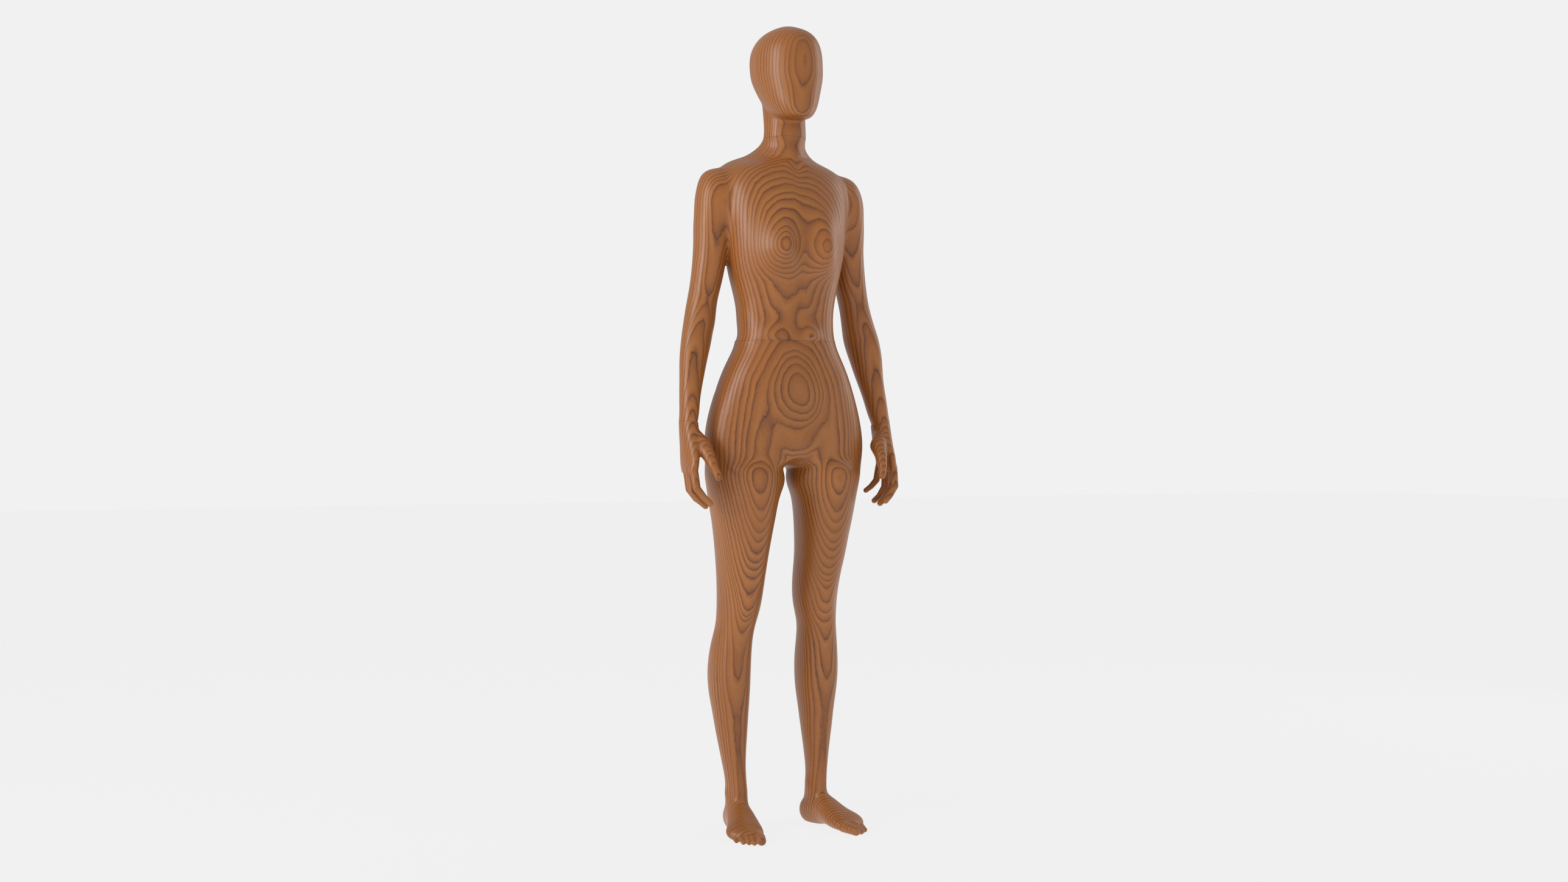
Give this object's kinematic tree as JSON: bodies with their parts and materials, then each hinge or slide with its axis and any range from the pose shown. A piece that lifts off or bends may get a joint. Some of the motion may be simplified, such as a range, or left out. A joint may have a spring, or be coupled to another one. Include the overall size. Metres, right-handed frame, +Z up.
{
  "type": "display mannequin",
  "caption": "Life-size faceless standing woman carved in wood for display, with a lift-off torso, turning head, swinging arms, turning hands and bare feet.",
  "frame": {"origin": "on the floor under the middle of the figure's outline", "axes": "+Z up, the figure faces -Y, its left side is +X"},
  "size_m": [0.5, 0.2561, 1.7455],
  "materials": {
    "wood": "satin oiled, strong growth-ring figure",
    "dowel": "bare turned hardwood",
    "socket_steel": "brushed",
    "stud_steel": "bright zinc plate",
    "tube_steel": "drawn tube",
    "screw": "yellow passivated steel"
  },
  "bodies": {
    "lower_body": {"pelvis": "wood", "left_leg": "wood", "right_leg": "wood", "left_leg_dowels": "dowel", "foot_socket_tube": "tube_steel", "waist_peg_plate": "stud_steel", "waist_peg_screws": "screw", "leg_peg_plate": "stud_steel", "leg_peg_screws": "screw", "leg_socket_plate": "socket_steel", "leg_socket_screws": "screw"},
    "upper_body": {"torso": "wood", "waist_socket_plate": "socket_steel", "waist_socket_screws": "screw", "neck_socket_plate": "socket_steel", "neck_socket_screws": "screw", "left_shoulder_socket_plate": "socket_steel", "left_shoulder_socket_screws": "screw", "right_shoulder_socket_plate": "socket_steel", "right_shoulder_socket_screws": "screw"},
    "head_body": {"head": "wood", "head_stud": "stud_steel", "head_stud_screws": "screw"},
    "left_arm_body": {"left_arm": "wood", "left_arm_stud": "stud_steel", "left_arm_stud_screws": "screw", "left_wrist_socket_plate": "socket_steel", "left_wrist_socket_screws": "screw"},
    "right_arm_body": {"right_arm": "wood", "right_arm_stud": "stud_steel", "right_arm_stud_screws": "screw", "right_wrist_socket_plate": "socket_steel", "right_wrist_socket_screws": "screw"},
    "left_hand_body": {"left_hand": "wood", "left_hand_stud": "stud_steel", "left_hand_stud_screws": "screw"},
    "right_hand_body": {"right_hand": "wood", "right_hand_stud": "stud_steel", "right_hand_stud_screws": "screw"}
  },
  "joints": [
    {"name": "torso_lift", "type": "slide", "parent": "lower_body", "child": "upper_body", "axis": [0, 0, 1], "range_m": [0, 0.12]},
    {"name": "head_turn", "type": "hinge", "parent": "upper_body", "child": "head_body", "pos_m": [0, 0.006, 1.505], "axis": [0, 0, 1], "range_deg": [-80, 80]},
    {"name": "left_shoulder_swing", "type": "hinge", "parent": "upper_body", "child": "left_arm_body", "pos_m": [0.144, 0.031, 1.382], "axis": [-0.9976, 0, 0.0698], "range_deg": [-30, 85]},
    {"name": "right_shoulder_swing", "type": "hinge", "parent": "upper_body", "child": "right_arm_body", "pos_m": [-0.144, 0.031, 1.382], "axis": [-0.9976, 0, -0.0698], "range_deg": [-30, 85]},
    {"name": "left_wrist_turn", "type": "hinge", "parent": "left_arm_body", "child": "left_hand_body", "pos_m": [0.23, -0.0055, 0.884], "axis": [0.1759, -0.145, -0.9737], "range_deg": [-70, 25]},
    {"name": "right_wrist_turn", "type": "hinge", "parent": "right_arm_body", "child": "right_hand_body", "pos_m": [-0.23, -0.0055, 0.884], "axis": [0.1759, 0.145, 0.9737], "range_deg": [-70, 25]}
  ]
}
